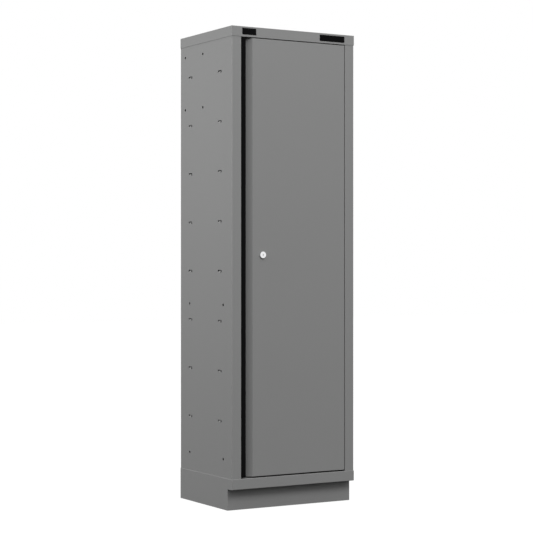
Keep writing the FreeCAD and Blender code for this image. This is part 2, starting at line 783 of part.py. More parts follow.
def make_feet():
    """Levelling feet: a hexagonal moulded pad, to be turned by hand, under a steel stud."""
    made = []
    for index, (across, up) in enumerate(foot_corners()):
        pad_body = new_body(f"foot_pad_{index + 1}")
        sole = new_sketch(pad_body, "XY_Plane")
        draw_hexagon(sole, "0", "0", "dim.foot_pad_flats")
        pad(pad_body, sole, "dim.foot_pad_height")
        rim = edge_on_plane("z", "dim.foot_pad_height")
        round_edges(pad_body, "dim.foot_pad_height / 3", rim, "PartDesign::Chamfer")

        stud_body = new_body(f"foot_stud_{index + 1}")
        stud = new_sketch(stud_body, "XY_Plane", "dim.foot_pad_height")
        draw_circle(stud, "0", "0", "dim.foot_stud_diameter")
        pad(stud_body, stud, "place.foot_stud_top - dim.foot_pad_height")
        for body in (pad_body, stud_body):
            move_to(body, across, up)
        made += [pad_body, stud_body]
    return made


# ---------------------------------------------------------------- hinges


def make_bushes():
    """Nylon bushes in the header and in the base, rims towards the door."""
    made = []
    for name, seat, sleeve in (
        ("hinge_bush_top", "place.skirt_foot", "+"),
        ("hinge_bush_bottom", "dim.base_height", "-"),
    ):
        body = new_body(name)
        profile = new_sketch(body, "XZ_Plane")
        rim = "-" if sleeve == "+" else "+"
        draw_polygon(
            profile,
            [
                ("place.bush_bore / 2", f"0 {rim} dim.bush_rim_height"),
                ("place.bush_rim_edge", f"0 {rim} dim.bush_rim_height"),
                ("place.bush_rim_edge", "0"),
                ("place.bush_body / 2", "0"),
                ("place.bush_body / 2", f"0 {sleeve} dim.bush_length"),
                ("place.bush_bore / 2", f"0 {sleeve} dim.bush_length"),
            ],
        )
        revolve(body, profile, "V_Axis")
        move_to(body, "place.pivot_x", "place.pivot_y", seat)
        made.append(body)
    return made


def make_hinge_plate(name, level, upwards):
    """A thick plate inside the door's end that takes the pin's load."""
    body = new_body(name)
    sketch = new_sketch(body, "XY_Plane", level)
    edge = "place.door_side - dim.sheet - dim.fixed_gap"
    near = "place.front + dim.sheet + dim.fixed_gap"
    draw_rectangle(
        sketch, (f"{edge} - dim.plate_length", near), (edge, f"{near} + dim.plate_depth")
    )
    draw_circle(sketch, "place.pivot_x", "place.pivot_y", "place.pin_hole")
    pad(body, sketch, "dim.plate_thickness", reverse=not upwards)
    far = [(f"{edge} - dim.plate_length", y) for y in (near, f"{near} + dim.plate_depth")]
    round_edges(body, "dim.plate_corner", edge_along("z", far), "PartDesign::Chamfer")
    return body


def make_hinge_pins():
    """The upper pin is plain, and the lower one has a collar that stands on its bush."""
    upper = new_body("hinge_pin_top")
    sketch = new_sketch(upper, "XY_Plane", "place.door_high - dim.pin_grip")
    draw_circle(sketch, "0", "0", "dim.pin_diameter")
    pad(upper, sketch, "dim.pin_grip + dim.door_top_gap + dim.bush_length - dim.rest_gap")

    lower = new_body("hinge_pin_bottom")
    sketch = new_sketch(lower, "XY_Plane", "place.door_low + dim.pin_grip")
    draw_circle(sketch, "0", "0", "dim.pin_diameter")
    down = "dim.pin_grip + dim.door_bottom_gap + dim.bush_length - dim.rest_gap"
    pad(lower, sketch, down, reverse=True)
    collar = new_sketch(lower, "XY_Plane", "place.door_low")
    draw_circle(collar, "0", "0", "dim.pin_collar")
    collar_height = "dim.door_bottom_gap - dim.bush_rim_height - dim.rest_gap"
    pad(lower, collar, collar_height, reverse=True)

    for body in (upper, lower):
        move_to(body, "place.pivot_x", "place.pivot_y")
    return [upper, lower]


# ---------------------------------------------------------------- door


def make_door_skin():
    """The door's outer shell, with the finger recess folded into its free edge."""
    body = new_body("door_skin")
    plan = [
        ("place.door_side", "place.door_back"),
        ("-place.door_side", "place.door_back"),
        ("-place.door_side", "place.recess_face"),
        ("place.recess_side - dim.recess_depth", "place.recess_face"),
        ("place.recess_side", "place.front"),
        ("place.door_side", "place.front"),
    ]
    tall = "place.door_high - place.door_low"
    sketch = new_sketch(body, "XY_Plane", "place.door_low")
    draw_polygon(sketch, plan)
    pad(body, sketch, tall)
    front_edges = edge_on_plane("y", "place.front")
    hinge_edge = edge_along("z", [plan[0]])
    round_edges(body, "dim.edge_radius", lambda edge: front_edges(edge) or hinge_edge(edge))

    cavity = new_sketch(body, "XY_Plane", "place.door_high - dim.sheet")
    draw_polygon(cavity, move_left(plan, "dim.sheet"))
    pocket(body, cavity, f"{tall} - 2 * dim.sheet")

    opening = new_sketch(body, "XZ_Plane", "-place.door_back")
    draw_rectangle(
        opening,
        ("-place.door_side + dim.door_hem", "place.door_low + dim.door_hem"),
        ("place.door_side - dim.door_hem", "place.door_high - dim.door_hem"),
    )
    pocket(body, opening, "dim.sheet", reverse=True)

    hole = new_sketch(body, "XZ_Plane", "-place.front")
    draw_circle(hole, "place.lock_x", "dim.lock_height",
                "dim.lock_body_diameter + 2 * dim.fixed_gap")
    pocket(body, hole, "dim.sheet")
    for level in ("place.door_high", "place.door_low + dim.sheet"):
        pin_hole = new_sketch(body, "XY_Plane", level)
        draw_circle(pin_hole, "place.pivot_x", "place.pivot_y", "place.pin_hole")
        pocket(body, pin_hole, "dim.sheet")
    return body


def make_door_liner():
    """The door's inner sheet, behind the hem, with its edges folded towards the front."""
    body = new_body("door_liner")
    back = "place.door_back - dim.sheet"
    side = "place.door_side - dim.sheet - dim.fixed_gap"
    low = "place.door_low + dim.sheet + dim.fixed_gap"
    high = "place.door_high - dim.sheet - dim.fixed_gap"
    sketch = new_sketch(body, "XZ_Plane", f"-({back})")
    draw_rectangle(sketch, (f"-({side})", low), (side, high))
    pad(body, sketch, "dim.liner_edge")
    hollow(body, "dim.sheet", faces_front)
    hole = new_sketch(body, "XZ_Plane", f"-({back} - dim.sheet)")
    draw_circle(hole, "place.lock_x", "dim.lock_height",
                "dim.lock_body_diameter + 2 * dim.fixed_gap")
    pocket(body, hole, "dim.sheet")
    return body


def make_grip():
    """The extruded grip: a foot on the recess floor, a web at the door's edge and a lip."""
    body = new_body("grip_profile")
    free_edge = "-dim.width / 2 + dim.grip_edge"
    path = [
        ("-place.door_side + dim.grip_foot", "place.recess_face"),
        ("-place.door_side", "place.recess_face"),
        ("-place.door_side", "place.front"),
        (free_edge, "place.front"),
        (free_edge, "place.front + dim.grip_nose"),
    ]
    tall = "place.door_high - place.door_low"
    folded_sheet(body, "XY_Plane", path, "dim.grip_wall", tall, "dim.grip_radius", "place.door_low")
    return body


# ---------------------------------------------------------------- lock


def move_to_lock(body):
    move_to(body, "place.lock_x", "place.front", "dim.lock_height")


def make_lock_body():
    """The chromed case: a domed head on the door's front and a body through both sheets."""
    body = new_body("lock_body")
    profile = new_sketch(body, "YZ_Plane")
    bore = "dim.plug_diameter / 2 + dim.running_gap"
    head = "dim.lock_head_diameter / 2"
    draw_polygon(
        profile,
        [
            ("-dim.lock_head_height", bore),
            ("-dim.lock_head_height", "dim.lock_face_diameter / 2"),
            ("-dim.lock_head_edge", head),
            ("0", head),
            ("0", "dim.lock_body_diameter / 2"),
            ("dim.lock_length", "dim.lock_body_diameter / 2"),
            ("dim.lock_length", bore),
        ],
    )
    revolve(body, profile, "H_Axis")
    move_to_lock(body)
    return body


def make_lock_plug():
    """The plug that the key turns, with its slot and the tapped hole for the cam screw."""
    body = new_body("lock_plug")
    face = "-dim.lock_head_height + dim.plug_sunk"
    end = "dim.lock_length + dim.rest_gap"
    sketch = new_sketch(body, "XZ_Plane", f"-({face})")
    draw_circle(sketch, "0", "0", "dim.plug_diameter")
    pad(body, sketch, f"{end} - ({face})", reverse=True)
    slot = new_sketch(body, "XZ_Plane", f"-({face})")
    half_width = "dim.key_slot_width / 2"
    half_height = "dim.key_slot_height / 2"
    draw_rectangle(slot, (f"-{half_width}", f"-{half_height}"), (half_width, half_height))
    pocket(body, slot, "dim.key_slot_depth")
    hole = new_sketch(body, "XZ_Plane", f"-({end})")
    draw_circle(hole, "0", "0", "dim.cam_screw_diameter + 2 * dim.fixed_gap")
    pocket(body, hole, "dim.cam_screw_length", reverse=True)
    move_to_lock(body)
    return body


def make_lock_nut():
    body = new_body("lock_nut")
    sketch = new_sketch(body, "XZ_Plane", "-(dim.door_depth - dim.sheet)")
    draw_hexagon(sketch, "0", "0", "dim.lock_nut_flats")
    draw_circle(sketch, "0", "0", "dim.lock_body_diameter + 2 * dim.fixed_gap")
    pad(body, sketch, "dim.lock_nut_height", reverse=True)
    move_to_lock(body)
    return body


def make_cam():
    """The cam hangs straight down when the door is unlocked."""
    body = new_body("lock_cam")
    seat = "-(dim.lock_length + dim.rest_gap)"
    stop_edge = "-place.opening_side + dim.stop_flange"
    reach = f"place.lock_x - ({stop_edge}) + dim.cam_overlap - dim.cam_tip / 2"
    hub = new_sketch(body, "XZ_Plane", seat)
    draw_circle(hub, "0", "0", "dim.cam_hub")
    pad(body, hub, "dim.cam_thickness", reverse=True)
    arm = new_sketch(body, "XZ_Plane", seat)
    draw_polygon(
        arm,
        [
            ("-dim.cam_hub / 2", "0"),
            ("-dim.cam_tip / 2", f"-({reach})"),
            ("dim.cam_tip / 2", f"-({reach})"),
            ("dim.cam_hub / 2", "0"),
        ],
    )
    pad(body, arm, "dim.cam_thickness", reverse=True)
    tip = new_sketch(body, "XZ_Plane", seat)
    draw_circle(tip, "0", f"-({reach})", "dim.cam_tip")
    pad(body, tip, "dim.cam_thickness", reverse=True)
    hole = new_sketch(body, "XZ_Plane", seat)
    draw_circle(hole, "0", "0", "dim.cam_screw_diameter + 2 * dim.fixed_gap")
    pocket(body, hole, "dim.cam_thickness")
    move_to_lock(body)
    return body


def make_cam_screw():
    body = new_body("cam_screw")
    seat = "dim.lock_length + dim.rest_gap + dim.cam_thickness"
    head = new_sketch(body, "XZ_Plane", f"-({seat})")
    draw_circle(head, "0", "0", "dim.cam_screw_head")
    pad(body, head, "dim.cam_screw_head_height", reverse=True)
    shank = new_sketch(body, "XZ_Plane", f"-({seat})")
    draw_circle(shank, "0", "0", "dim.cam_screw_diameter")
    pad(body, shank, "dim.cam_thickness + dim.cam_screw_length - dim.rest_gap")
    socket = new_sketch(body, "XZ_Plane", f"-({seat} + dim.cam_screw_head_height)")
    draw_hexagon(socket, "0", "0", "dim.cam_screw_socket")
    pocket(body, socket, "dim.cam_screw_head_height / 2", reverse=True)
    move_to_lock(body)
    return body


def make_buffers():
    """Rubber buffers on the stop flange beside the door's free edge."""
    body = new_body("door_buffers")
    sketch = new_sketch(body, "XZ_Plane", "-place.stop_face")
    far = "-place.opening_side + dim.stop_flange - dim.sheet"
    for step in range(BUFFER_COUNT):
        share = f"{2 * step + 1} / {2 * BUFFER_COUNT}"
        middle = f"place.door_low + (place.door_high - place.door_low) * {share}"
        draw_rectangle(
            sketch,
            (f"{far} - dim.buffer_width", f"{middle} - dim.buffer_length / 2"),
            (far, f"{middle} + dim.buffer_length / 2"),
        )
    pad(body, sketch, "dim.buffer_space - dim.rest_gap")
    return body


# ---------------------------------------------------------------- assembly


def make_all():
    left = make_side_panel()
    pieces = [left, mirror_across(left, "side_panel_right")]
    pieces += [make_back_panel(), make_header(), make_cap(), make_floor()]
    pieces += [make_shelf(index) for index in range(SHELF_COUNT)]
    pieces.append(make_base())
    pieces += make_foot_brackets()
    pieces += make_feet()
    bolts = fastener_spots("place.bolt_x", "dim.bolt_spread")
    pieces.append(make_bolts())
    pieces.append(
        make_nuts(
            "base_nuts", bolts, "dim.bolt_flats", "dim.bolt_diameter + 2 * dim.fixed_gap",
            "dim.base_height - dim.cover_sheet", "dim.nut_height",
        )
    )
    pieces.append(
        make_nuts(
            "cap_nuts", bolts, "dim.stud_nut_flats", "dim.stud_diameter + 2 * dim.fixed_gap",
            "place.carcass_top - dim.sheet", "dim.stud_nut_height",
        )
    )
    pieces += make_bushes()
    pieces += make_hinge_pins()
    pieces.append(make_hinge_plate("hinge_plate_top", "place.door_high - dim.sheet", False))
    pieces.append(make_hinge_plate("hinge_plate_bottom", "place.door_low + dim.sheet", True))
    pieces += [make_door_skin(), make_door_liner(), make_grip(), make_buffers()]
    pieces += [make_lock_body(), make_lock_plug(), make_lock_nut(), make_cam(), make_cam_screw()]
    return pieces


def check_all(pieces):
    """Stop if any object failed to build or any piece isn't a sound solid."""
    for item in doc.Objects:
        if {"Invalid", "Error"} & set(item.State):
            raise RuntimeError(f"{item.Name} failed: {item.State}")
    for piece in pieces:
        shape = piece.Shape
        if shape.isNull() or not shape.isValid() or not shape.Solids:
            raise RuntimeError(f"{piece.Label} is not a sound solid")


def write_all(pieces):
    os.makedirs("parts", exist_ok=True)
    for piece in pieces:
        piece.Shape.exportStep(os.path.join("parts", piece.Label + ".step"))
        print(piece.Label, len(piece.Shape.Solids), round(piece.Shape.Volume))


all_pieces = make_all()
doc.recompute()
check_all(all_pieces)
write_all(all_pieces)
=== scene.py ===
# %% [markdown]
# # A steel side locker and its finishes
#
# The locker is a tall cabinet of folded sheet steel with one door, a cap and a base with a toe
# space. Its solids come from a CAD model that loads here as a fixed frame: every piece already
# stands where it belongs, in metres, with the origin on the floor under the middle of the cabinet,
# +X to the right, +Y to the back and +Z up. The script gives every piece its finish, adds the small
# things that the CAD model leaves out, and then sets up the floor, the light and the camera.

import math

import bmesh
import bpy
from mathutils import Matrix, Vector


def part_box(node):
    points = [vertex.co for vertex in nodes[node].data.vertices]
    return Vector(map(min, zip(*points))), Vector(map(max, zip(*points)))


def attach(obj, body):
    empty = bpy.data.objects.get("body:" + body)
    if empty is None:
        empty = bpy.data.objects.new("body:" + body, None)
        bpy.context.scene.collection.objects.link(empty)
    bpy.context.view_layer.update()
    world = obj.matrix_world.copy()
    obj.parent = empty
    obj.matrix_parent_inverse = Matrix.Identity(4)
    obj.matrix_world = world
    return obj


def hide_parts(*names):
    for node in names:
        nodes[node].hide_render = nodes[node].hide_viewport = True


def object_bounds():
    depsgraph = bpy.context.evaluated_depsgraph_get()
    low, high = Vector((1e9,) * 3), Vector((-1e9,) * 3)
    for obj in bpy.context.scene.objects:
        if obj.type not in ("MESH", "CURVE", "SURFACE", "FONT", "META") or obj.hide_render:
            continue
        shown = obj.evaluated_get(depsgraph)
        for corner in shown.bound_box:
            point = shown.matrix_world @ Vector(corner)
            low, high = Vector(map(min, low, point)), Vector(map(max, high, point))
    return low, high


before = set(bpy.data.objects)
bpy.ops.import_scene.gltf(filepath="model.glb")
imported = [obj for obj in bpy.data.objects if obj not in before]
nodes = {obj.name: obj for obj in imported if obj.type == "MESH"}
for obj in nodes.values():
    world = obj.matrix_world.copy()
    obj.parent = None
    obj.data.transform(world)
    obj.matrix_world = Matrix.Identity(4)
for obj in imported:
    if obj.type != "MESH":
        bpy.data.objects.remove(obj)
cad_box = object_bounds()
MM = 0.001
SAME_POINT = 0.001 * MM  # points nearer to each other than this are merged

cad_size = [round(high - low, 4) for low, high in zip(*cad_box)]
print("nodes:", len(nodes), "size:", cad_size)

# %% [markdown]
# ## A short way to write node trees
#
# Materials and Geometry Nodes are both trees of small nodes. Clicking them together is quick for
# one, but a script with a line for every socket is hard to read. So one class wraps a socket and
# gives it Python's operators, and another one adds any node in one call: its type, its settings and
# what its sockets hold. After that, a pattern reads like the formula that it is.

# %% Wrap a socket and a tree


class Signal:
    """The output of a node. Arithmetic on it adds Math nodes to the tree it belongs to."""

    def __init__(self, graph, socket):
        self.graph = graph
        self.socket = socket

    def __add__(self, other):
        return self.graph.maths("ADD", self, other)

    def __sub__(self, other):
        return self.graph.maths("SUBTRACT", self, other)

    def __rsub__(self, other):
        return self.graph.maths("SUBTRACT", other, self)

    def __mul__(self, other):
        return self.graph.maths("MULTIPLY", self, other)

    def __truediv__(self, other):
        return self.graph.maths("DIVIDE", self, other)

    __radd__ = __add__
    __rmul__ = __mul__


class Graph:
    """A node tree, with one method that adds a node of any type."""

    def __init__(self, tree):
        self.tree = tree

    def node(self, kind, settings=None, sockets=None, output=0):
        """Add a node. Its settings come first, then a value or a link for each socket."""
        made = self.tree.nodes.new(kind)
        for name, value in (settings or {}).items():
            setattr(made, name, value)
        for key, value in (sockets or {}).items():
            if isinstance(value, Signal):
                self.tree.links.new(value.socket, made.inputs[key])
            else:
                made.inputs[key].default_value = value
        return Signal(self, made.outputs[output]) if made.outputs else None

    def maths(self, operation, *values):
        """Add a Math node on up to three values."""
        return self.node("ShaderNodeMath", {"operation": operation}, dict(enumerate(values)))


print("tree helpers ready")

# %% [markdown]
# ## What every finish shares
#
# Each finish starts from the surface's own coordinates, in metres, so a pattern keeps its real size
# on a small nut and on a two-metre panel alike, and stays on the piece when the door swings. Noise
# gives the unevenness of a real coating. One principled shader takes the colour, the roughness and
# a fine bump.

# %% Start a finish


class Finish(Graph):
    """A procedural material."""

    def __init__(self, name):
        self.material = bpy.data.materials.new(name)
        self.material.use_nodes = True
        super().__init__(self.material.node_tree)
        self.tree.nodes.clear()
        self.spot = self.node("ShaderNodeTexCoord", output="Object")

    def stretched(self, scale):
        """Coordinates that are scaled by a different amount along each axis."""
        return self.node("ShaderNodeMapping", sockets={"Vector": self.spot, "Scale": scale})

    def noise(self, per_metre, detail=2, spot=None):
        """Soft noise around 0, from about -0.5 to 0.5."""
        sockets = {"Vector": spot or self.spot, "Scale": per_metre, "Detail": detail}
        return self.node("ShaderNodeTexNoise", sockets=sockets) - 0.5

    def shade(self, colour, factor):
        """A colour that is made darker or lighter by a factor."""
        settings = {"operation": "SCALE"}
        return self.node("ShaderNodeVectorMath", settings, {0: colour, "Scale": factor})

    def blend(self, factor, first, second):
        """A colour between two colours."""
        sockets = {0: factor, 6: (*first, 1), 7: (*second, 1)}
        return self.node("ShaderNodeMix", {"data_type": "RGBA"}, sockets, output=2)

    def coat(self, colour, roughness, relief, relief_depth, constants=None):
        """Close the material. Relief is a height around 0 and relief_depth its size in metres."""
        bump = self.node("ShaderNodeBump", sockets={"Distance": relief_depth, "Height": relief})
        sockets = {"Base Color": colour, "Roughness": roughness, "Normal": bump}
        sockets.update(constants or {})
        shader = self.node("ShaderNodeBsdfPrincipled", sockets=sockets)
        self.node("ShaderNodeOutputMaterial", sockets={"Surface": shader})
        return self.material


print("finish helpers ready")

# %% [markdown]
# ## Grey powder coat
#
# The sheet steel is sprayed with dry paint powder and baked. The powder melts into an even,
# semi-matt skin with a faint orange peel: soft waves about two millimetres long and a few
# hundredths of a millimetre high. Pigment flecks make the grey slightly alive from close by, and
# the gloss drifts a little from place to place. Paint like this has no brush marks and no grain, so
# plain noise at four sizes is enough, and each of them is kept faint.

# %% Make the powder coat
POWDER_GREY = (0.233, 0.234, 0.233)
POWDER_GLOSS = {"Specular IOR Level": 0.1}


def make_powder_coat():
    finish = Finish("grey_powder_coat")
    drift = finish.noise(per_metre=2.5)
    flecks = finish.noise(per_metre=1100, detail=1)
    waves = finish.noise(per_metre=450)
    peel = waves + 0.4 * finish.noise(per_metre=1500, detail=1)
    colour = finish.shade(POWDER_GREY, 1 + 0.04 * drift + 0.1 * flecks)
    roughness = 0.5 + 0.08 * drift
    return finish.coat(colour, roughness, peel, relief_depth=0.05 * MM, constants=POWDER_GLOSS)


powder_coat = make_powder_coat()
print("made", powder_coat.name)

# %% [markdown]
# ## Satin black profile
#
# The grip is a long extrusion. The die leaves very fine lines that run the whole length of the
# profile, and the black surface between them is satin, not shiny. The lines are noise that is
# squeezed across the profile and stretched along it. The low specular level keeps the black deep in
# a white room.

# %% Make the black profile and the black plate
PROFILE_BLACK = (0.003, 0.003, 0.0032)
ENAMEL_BLACK = (0.003, 0.003, 0.0033)
BLACK_GLOSS = {"Specular IOR Level": 0.03}
LINES_PER_METRE = (2200, 2200, 6)  # across, across and along the profile


def make_black_profile():
    finish = Finish("black_profile")
    lines = finish.noise(per_metre=1, spot=finish.stretched(LINES_PER_METRE))
    haze = finish.noise(per_metre=18)
    colour = finish.shade(PROFILE_BLACK, 1 + 0.5 * lines + 0.3 * haze)
    roughness = 0.5 + 0.12 * haze + 0.1 * lines
    return finish.coat(colour, roughness, lines, relief_depth=0.02 * MM, constants=BLACK_GLOSS)


def make_black_enamel():
    finish = Finish("black_enamel")
    flow = finish.noise(per_metre=160)
    colour = finish.shade(ENAMEL_BLACK, 1 + 0.4 * flow)
    roughness = 0.3 + 0.1 * flow
    return finish.coat(colour, roughness, flow, relief_depth=0.03 * MM, constants=BLACK_GLOSS)


black_profile = make_black_profile()
black_enamel = make_black_enamel()
print("made", black_profile.name, black_enamel.name)

# %% [markdown]
# ## Metals
#
# The lock is chromed: a smooth mirror whose only unevenness is a trace of polishing haze. The
# bolts, nuts, studs and brackets are zinc plated. Zinc is duller, with crystals that catch the
# light differently, so its colour and its roughness both follow a blotchy noise of a few
# millimetres. The hinge plates and pins are dipped in thin black paint, which is a little thicker
# here and there.

# %% Make the metals
CHROME_WHITE = (0.84, 0.84, 0.85)
ZINC_BLUE = (0.5, 0.51, 0.53)
ZINC_YELLOW = (0.64, 0.63, 0.58)
DIPPED_BLACK = (0.02, 0.02, 0.021)
BARE_METAL = {"Metallic": 1.0}
WAXY_GLOSS = {"Specular IOR Level": 0.3}


def make_chrome():
    finish = Finish("chrome")
    haze = finish.noise(per_metre=240)
    colour = finish.shade(CHROME_WHITE, 1 + 0.04 * haze)
    roughness = 0.09 + 0.08 * haze
    return finish.coat(colour, roughness, haze, relief_depth=0.004 * MM, constants=BARE_METAL)


def make_zinc_plate():
    finish = Finish("zinc_plated_steel")
    crystals = finish.noise(per_metre=420, detail=3)
    colour = finish.blend(crystals + 0.5, ZINC_BLUE, ZINC_YELLOW)
    roughness = 0.34 + 0.2 * crystals
    return finish.coat(colour, roughness, crystals, relief_depth=0.01 * MM, constants=BARE_METAL)


def make_blackened_steel():
    finish = Finish("blackened_steel")
    runs = finish.noise(per_metre=140, detail=3)
    colour = finish.shade(DIPPED_BLACK, 1 + 0.5 * runs)
    roughness = 0.5 + 0.15 * runs
    return finish.coat(colour, roughness, runs, relief_depth=0.02 * MM, constants=WAXY_GLOSS)


chrome = make_chrome()
zinc_plate = make_zinc_plate()
blackened_steel = make_blackened_steel()
print("made", chrome.name, zinc_plate.name, blackened_steel.name)

# %% [markdown]
# ## Moulded parts
#
# The hinge bushes are black nylon, slightly waxy. The buffers and the pads of the feet are black
# rubber with the dull, finely pitted skin that a mould leaves.

# %% Make the nylon and the rubber
NYLON_BLACK = (0.022, 0.022, 0.023)
RUBBER_BLACK = (0.024, 0.024, 0.025)


def make_nylon():
    finish = Finish("nylon")
    cloud = finish.noise(per_metre=120)
    colour = finish.shade(NYLON_BLACK, 1 + 0.2 * cloud)
    roughness = 0.48 + 0.1 * cloud
    return finish.coat(colour, roughness, cloud, relief_depth=0.02 * MM, constants=WAXY_GLOSS)


def make_rubber():
    finish = Finish("rubber")
    bloom = finish.noise(per_metre=60)
    pits = finish.noise(per_metre=1400, detail=1)
    colour = finish.shade(RUBBER_BLACK, 1 + 0.4 * bloom)
    return finish.coat(colour, 0.78 + 0.1 * bloom, pits, relief_depth=0.04 * MM)


nylon = make_nylon()
rubber = make_rubber()
print("made", nylon.name, rubber.name)

# %% [markdown]
# ## Dress the solids
#
# Each CAD node comes with an empty material that has the name of its slot. The shapes are right
# already, so the meshes stay and only the slots are filled.

# %% Give each solid its finish
FINISHES = {
    "grey_powder_coat": powder_coat,
    "black_profile": black_profile,
    "chrome": chrome,
    "zinc_plated_steel": zinc_plate,
    "blackened_steel": blackened_steel,
    "nylon": nylon,
    "rubber": rubber,
}

for solid in nodes.values():
    for place in solid.material_slots:
        slot_name = place.material.name.split(".")[0]
        place.material = FINISHES[slot_name]

print("dressed", len(nodes), "solids")

# %% [markdown]
# ## Two bare plates on the cap
#
# Two thin plates are glued to the front of the cap, a short one at the left and a long one at the
# right. They are pressed from sheet: a rounded outline, a narrow raised rim and a flat field, in
# black enamel. The outline is drawn once with rounded corners and then stepped inwards and back,
# ring by ring, which gives the rim its slopes without any boolean.

# %% Draw a rounded outline
CORNER_STEPS = 5


def rounded_outline(left, right, low, high, radius):
    """Points (x, z) round a rectangle with rounded corners, anticlockwise seen from the front."""
    corners = (
        (right - radius, low + radius, 270),
        (right - radius, high - radius, 0),
        (left + radius, high - radius, 90),
        (left + radius, low + radius, 180),
    )
    points = []
    for x, z, start in corners:
        for step in range(CORNER_STEPS + 1):
            angle = math.radians(start + 90 * step / CORNER_STEPS)
            points.append((x + radius * math.cos(angle), z + radius * math.sin(angle)))
    return points


print("outline of", len(rounded_outline(0, 1, 0, 1, 0.1)), "points")

# %% Close a mesh and make it a piece


def close_mesh(name, shape):
    """Turn a finished bmesh into a mesh."""
    mesh = bpy.data.meshes.new(name)
    shape.to_mesh(mesh)
    shape.free()
    return mesh


def add_piece(name, mesh, material):
    """Link a finished mesh as an object that stands at the origin."""
    piece = bpy.data.objects.new(name, mesh)
    bpy.context.scene.collection.objects.link(piece)
    piece.data.materials.clear()
    piece.data.materials.append(material)
    return piece


print("piece helpers ready")

# %% Make a plate
PLATE_THICKNESS = 0.9 * MM
PLATE_RIM = 0.9 * MM
PLATE_CORNER = 2.0 * MM
PLATE_SINK = 0.2 * MM  # how deep the plate's back sits in the face
EDGE_SHARE = 0.7  # height of the outer edge and the field, as a share of the thickness
RIM_START, RIM_END = 0.3, 0.7  # where the rim is highest, as shares of its width


def make_plate(name, left, right, low, high, front):
    """A plate on a vertical face. A ring is (how far in from the outline, how far off the face)."""
    rings = (
        (0.0, -PLATE_SINK),
        (0.0, EDGE_SHARE * PLATE_THICKNESS),
        (RIM_START * PLATE_RIM, PLATE_THICKNESS),
        (RIM_END * PLATE_RIM, PLATE_THICKNESS),
        (PLATE_RIM, EDGE_SHARE * PLATE_THICKNESS),
    )
    shape = bmesh.new()
    loops = []
    for inset, rise in rings:
        outline = rounded_outline(
            left + inset, right - inset, low + inset, high - inset, PLATE_CORNER - inset
        )
        loops.append([shape.verts.new((x, front - rise, z)) for x, z in outline])
    for outer, inner in zip(loops, loops[1:]):
        for index in range(len(outer)):
            after = (index + 1) % len(outer)
            shape.faces.new((outer[index], outer[after], inner[after], inner[index]))
    shape.faces.new(loops[-1])
    shape.faces.new(loops[0][::-1])
    bmesh.ops.recalc_face_normals(shape, faces=shape.faces)
    return add_piece(name, close_mesh(name, shape), black_enamel)


print("plates get corners of", PLATE_CORNER, "m")

# %% Glue the two plates on
PLATE_INSET = 49 * MM  # from the cap's end to the plate's near end
SHORT_FAR_END = 115.5 * MM  # from the cap's left end
SHORT_FOOT, SHORT_TOP = 33.5 * MM, 6.5 * MM  # down from the cap's top
LONG_FAR_END = 173.5 * MM  # from the cap's right end
LONG_FOOT, LONG_TOP = 34 * MM, 7.5 * MM

cap_low, cap_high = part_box("top_cap")
short_plate = make_plate(
    "short_plate",
    cap_low.x + PLATE_INSET,
    cap_low.x + SHORT_FAR_END,
    cap_high.z - SHORT_FOOT,
    cap_high.z - SHORT_TOP,
    cap_low.y,
)
long_plate = make_plate(
    "long_plate",
    cap_high.x - LONG_FAR_END,
    cap_high.x - PLATE_INSET,
    cap_high.z - LONG_FOOT,
    cap_high.z - LONG_TOP,
    cap_low.y,
)
for plate in (short_plate, long_plate):
    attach(plate, "cabinet")
    print(plate.name, "has", len(plate.data.polygons), "faces")

# %% [markdown]
# ## The lock's case
#
# A cam lock's case is turned and chromed: a short round head with a softly rounded rim and a small
# chamfer round the plug, and a barrel that goes through the door. The CAD solid has a plain cone
# for a head. A turned part is a profile spun round an axis, so here the profile gets the rounded
# rim, and the new case takes the place of the node.

# %% Spin a profile
TURN_STEPS = 96
SHARP_ANGLE = math.radians(30)


def turned_mesh(name, profile, axis_x, axis_z):
    """Spin a closed profile of (y, radius) round an axis that runs along Y."""
    shape = bmesh.new()
    loops = []
    for step in range(TURN_STEPS):
        angle = 2 * math.pi * step / TURN_STEPS
        across, up = math.cos(angle), math.sin(angle)
        places = [(axis_x + radius * across, y, axis_z + radius * up) for y, radius in profile]
        loops.append([shape.verts.new(place) for place in places])
    for index, loop in enumerate(loops):
        after = loops[(index + 1) % TURN_STEPS]
        for spot in range(len(profile)):
            follow = (spot + 1) % len(profile)
            shape.faces.new((loop[spot], loop[follow], after[follow], after[spot]))
    bmesh.ops.recalc_face_normals(shape, faces=shape.faces)
    for face in shape.faces:
        face.smooth = True
    mesh = close_mesh(name, shape)
    mesh.set_sharp_from_angle(angle=SHARP_ANGLE)
    return mesh


print("turned parts get", TURN_STEPS, "steps")

# %% Turn the lock's case
PLUG_CLEARANCE = 0.05 * MM
HEAD_EXTRA = 1 * MM  # how much the head's radius grows on the CAD solid's
BARREL = 9 * MM
BORE_CHAMFER = 0.5 * MM
RIM = 2.0 * MM
RIM_STEPS = 10

case_low, case_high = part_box("lock_body")
plug_low, plug_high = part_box("lock_plug")
door_low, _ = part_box("door_skin")
lock_x = (case_low.x + case_high.x) / 2
lock_z = (case_low.z + case_high.z) / 2
bore = (plug_high.x - plug_low.x) / 2 + PLUG_CLEARANCE
head = (case_high.x - case_low.x) / 2 + HEAD_EXTRA

